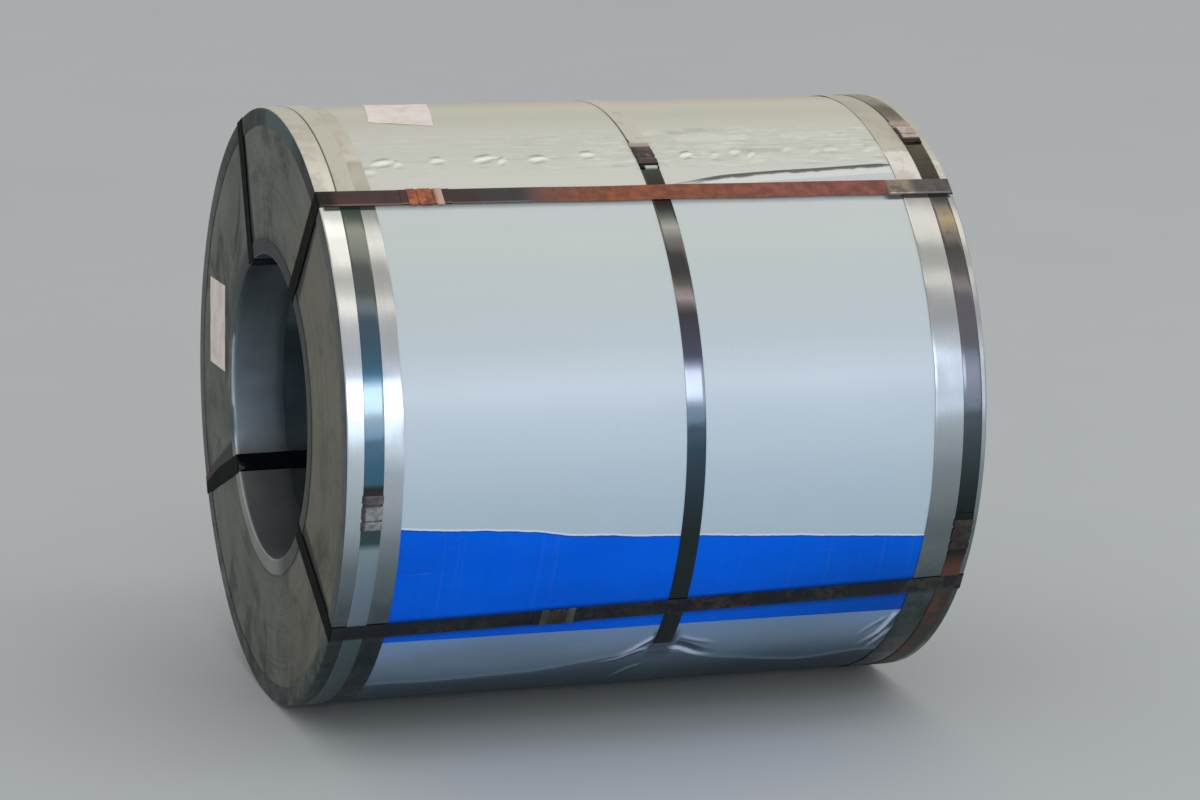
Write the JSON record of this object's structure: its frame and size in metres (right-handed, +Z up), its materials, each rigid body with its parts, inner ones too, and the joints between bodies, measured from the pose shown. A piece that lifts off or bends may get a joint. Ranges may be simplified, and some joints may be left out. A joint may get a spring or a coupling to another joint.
{
  "type": "steel coil",
  "caption": "Wound steel strip coil lying on its side, wrapped in sheet, with edge rings and steel straps round the body and through the bore.",
  "frame": {"origin": "the middle of the bore axis, half-way between the two ends", "axes": "+X along the bore axis, from the end with the label to the other end; +Z up as the coil lies on its side; +Y away from the seen front"},
  "size_m": [1.0738, 0.9886, 0.9877],
  "materials": {
    "strip_steel": "cold-rolled strip, wound",
    "liner_sheet": "dull blue-grey galvanised sheet",
    "wrap_sheet": "matte grey-white coil coating with a blue band",
    "disc_sheet": "dull galvanised sheet, matte grey-brown",
    "edge_ring": "bright galvanised sheet",
    "body_strap": "blued high-tensile strap, glossy, rusty near the floor",
    "eye_strap": "dark strap with brown rust",
    "seal": "crimped steel seal, dull, partly rusty",
    "label": "blank paper label, matte"
  },
  "bodies": {
    "root": {"coil": "strip_steel", "bore_liner": "liner_sheet", "outer_wrap": "wrap_sheet", "end_disc_left": "disc_sheet", "end_disc_right": "disc_sheet", "outer_ring_left": "edge_ring", "outer_ring_right": "edge_ring", "inner_ring_left": "edge_ring", "inner_ring_right": "edge_ring", "body_strap_left": "body_strap", "body_strap_middle": "body_strap", "body_strap_right": "body_strap", "eye_strap_top_front": "eye_strap", "eye_strap_bottom_front": "eye_strap", "eye_strap_bottom_rear": "eye_strap", "eye_strap_top_rear": "eye_strap", "body_seal_left": "seal", "body_seal_middle": "seal", "body_seal_right_upper": "seal", "body_seal_right_lower": "seal", "eye_seal_top_front": "seal", "eye_seal_bottom_front": "seal", "eye_seal_bottom_rear": "seal", "eye_seal_top_rear": "seal", "label_end": "label", "label_top": "label"}
  },
  "joints": []
}
